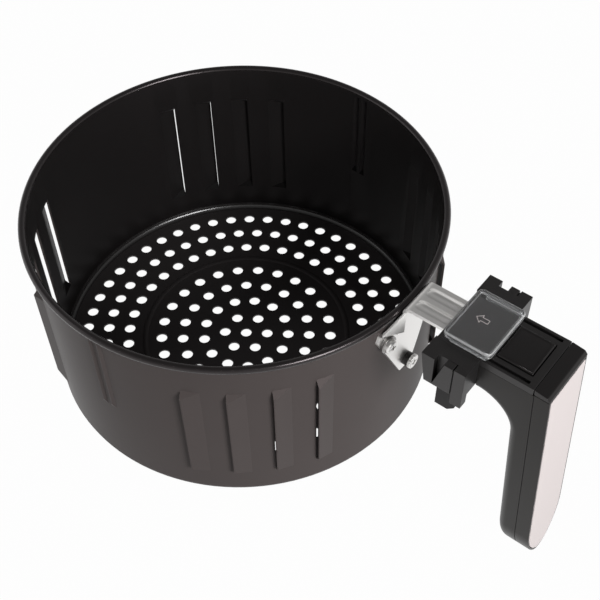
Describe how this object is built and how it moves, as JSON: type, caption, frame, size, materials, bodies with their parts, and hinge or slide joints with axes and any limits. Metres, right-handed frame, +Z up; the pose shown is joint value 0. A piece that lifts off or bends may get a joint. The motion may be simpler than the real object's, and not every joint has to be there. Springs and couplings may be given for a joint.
{
  "type": "air fryer basket",
  "caption": "Round perforated air fryer basket with louvred walls and a bolted handle with a latch release button under a sliding clear guard.",
  "frame": {"origin": "centre of the underside of the basket's flat base", "axes": "+Z up, +X along the handle, away from the basket"},
  "size_m": [0.2857, 0.2, 0.134],
  "materials": {
    "dark_coating": "dark satin non-stick coating on steel sheet",
    "bright_steel": "bright nickel-plated pressed steel",
    "black_plastic": "fine-grained moulded black plastic",
    "gloss_black": "smooth glossy black plastic",
    "grip_grey": "satin warm dark grey plastic",
    "pale_trim": "pale satin silver plate",
    "clear_plastic": "clear moulded plastic"
  },
  "bodies": {
    "basket": {"basket_wall": "dark_coating", "basket_floor": "dark_coating", "bracket": "bright_steel", "bracket_screws": "bright_steel", "bracket_washers": "bright_steel", "lower_screw": "bright_steel", "lower_spacer": "black_plastic", "bracket_nuts": "bright_steel", "latch_housing": "black_plastic", "tongue_screws": "bright_steel", "lever_pin": "bright_steel", "deck_cover": "black_plastic", "grip_rear": "grip_grey", "grip_front": "grip_grey", "grip_screws": "bright_steel", "trim_plate": "pale_trim", "top_cap": "gloss_black", "button_springs": "bright_steel"},
    "guard": {"clear_cover": "clear_plastic"},
    "button": {"release_button": "gloss_black"},
    "latch": {"latch_lever": "black_plastic"}
  },
  "joints": [
    {"name": "guard_slide", "type": "slide", "parent": "basket", "child": "guard", "axis": [1, 0, 0], "range_m": [0, 0.017]},
    {"name": "button_press", "type": "slide", "parent": "basket", "child": "button", "axis": [0, 0, -1], "range_m": [0, 0.003], "stiffness_N_per_m": 900, "springref_m": -0.002, "deforming": ["button_springs"]},
    {"name": "latch_turn", "type": "hinge", "parent": "basket", "child": "latch", "pos_m": [0.136, 0, 0.094], "axis": [0, 1, 0], "range_deg": [0, 11.25]}
  ],
  "couplings": [
    {"joint": "latch_turn", "follows": "button_press", "rad_per_m": 65.1}
  ]
}
